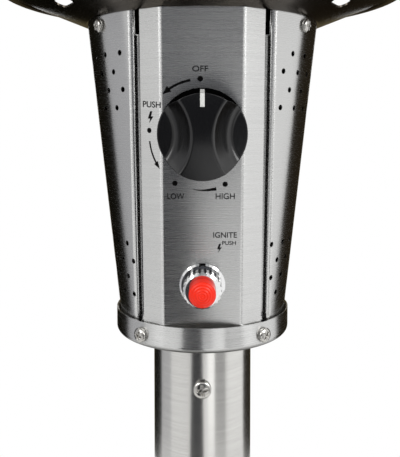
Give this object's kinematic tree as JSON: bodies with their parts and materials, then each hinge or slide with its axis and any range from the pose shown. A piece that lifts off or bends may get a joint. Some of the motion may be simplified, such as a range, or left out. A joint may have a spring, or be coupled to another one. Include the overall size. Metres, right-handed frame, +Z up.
{
  "type": "gas patio heater",
  "caption": "Tabletop gas patio heater: weighted base, cylinder housing, post, control head with knob and igniter button, perforated emitter and dished reflector.",
  "frame": {"origin": "middle of the underside of the feet, on the surface that the heater stands on", "axes": "+Z up along the post; the control panel faces -Y; +X to the right as seen from the front"},
  "size_m": [0.5329, 0.533, 0.9633],
  "materials": {
    "cast_base": "black powder coat over cast iron",
    "rubber_feet": "matt moulded rubber",
    "black_plastic": "satin moulded black plastic",
    "brushed_stainless": "brushed stainless sheet",
    "polished_stainless": "fine brushed, near polished stainless tube",
    "dark_stainless": "heat-tinted polished stainless",
    "zinc_plated": "bright zinc-plated steel",
    "bright_screws": "bright nickel-plated screw heads",
    "die_cast_zinc": "bead-blasted die casting",
    "brass_fitting": "turned brass",
    "copper_tube": "drawn copper",
    "aluminium_tube": "drawn aluminium tube",
    "aluminium_reflector": "spun satin aluminium",
    "hose_rubber": "smooth black gas hose",
    "lead_sleeve": "silicone lead sleeve",
    "white_print": "white inlaid plastic",
    "ivory_plastic": "moulded nylon",
    "ceramic_insulator": "glazed steatite",
    "red_button": "glossy red moulding",
    "chrome_bezel": "chrome plate",
    "burner_steel": "heat-resisting steel"
  },
  "bodies": {
    "base": {"base_plate": "cast_base", "base_feet": "rubber_feet", "thumb_screws": "black_plastic"},
    "heater": {"cylinder_housing": "brushed_stainless", "housing_lid": "brushed_stainless", "post_foot": "polished_stainless", "foot_screws": "bright_screws", "regulator": "die_cast_zinc", "regulator_cap": "zinc_plated", "regulator_spacers": "zinc_plated", "regulator_screws": "bright_screws", "gas_hose": "hose_rubber", "post": "polished_stainless", "post_bolts": "bright_screws", "neck_tube": "zinc_plated", "neck_bolts": "bright_screws", "neck_screws": "bright_screws", "bottom_pan": "brushed_stainless", "ring_screws": "bright_screws", "ring_cleats": "zinc_plated", "side_shell": "brushed_stainless", "front_panel": "brushed_stainless", "panel_screws": "bright_screws", "valve_body": "die_cast_zinc", "valve_screws": "bright_screws", "igniter_body": "ivory_plastic", "igniter_nut": "zinc_plated", "igniter_bezel": "chrome_bezel", "igniter_lead": "lead_sleeve", "electrode_insulator": "ceramic_insulator", "electrode_pin": "burner_steel", "pilot_bracket": "burner_steel", "pilot_tube": "aluminium_tube", "pilot_burner": "brass_fitting", "thermocouple": "copper_tube", "tilt_switch": "black_plastic", "tilt_leads": "lead_sleeve", "supply_tube": "aluminium_tube", "burner_jet": "brass_fitting", "burner_tube": "burner_steel", "burner_drum": "burner_steel", "burner_screws": "bright_screws", "burner_pan": "dark_stainless", "pan_screws": "bright_screws", "emitter_collar": "burner_steel", "emitter_screen": "burner_steel", "emitter_screws": "bright_screws", "emitter_cap": "burner_steel", "reflector_posts": "zinc_plated", "post_nuts": "zinc_plated", "reflector": "aluminium_reflector", "reflector_washers": "zinc_plated", "wing_nuts": "bright_screws"},
    "plunger": {"thrust_sleeve": "brass_fitting"},
    "knob": {"valve_stem": "zinc_plated", "stem_clip": "zinc_plated", "control_knob": "black_plastic", "knob_pointer": "white_print"},
    "button": {"igniter_button": "red_button"}
  },
  "joints": [
    {"name": "unit_lift", "type": "slide", "parent": "base", "child": "heater", "axis": [0, 0, 1], "range_m": [0, 0.24]},
    {"name": "knob_push", "type": "slide", "parent": "heater", "child": "plunger", "axis": [0, 0.9927, 0.1203], "range_m": [0, 0.003], "stiffness_N_per_m": 1500, "springref_m": -0.004},
    {"name": "knob_turn", "type": "hinge", "parent": "plunger", "child": "knob", "pos_m": [0, -0.05987, 0.6532], "axis": [0, -0.9927, -0.1203], "range_deg": [0, 206]},
    {"name": "igniter_press", "type": "slide", "parent": "heater", "child": "button", "axis": [0, 0.9927, 0.1203], "range_m": [0, 0.0055], "stiffness_N_per_m": 1200, "springref_m": -0.004}
  ]
}
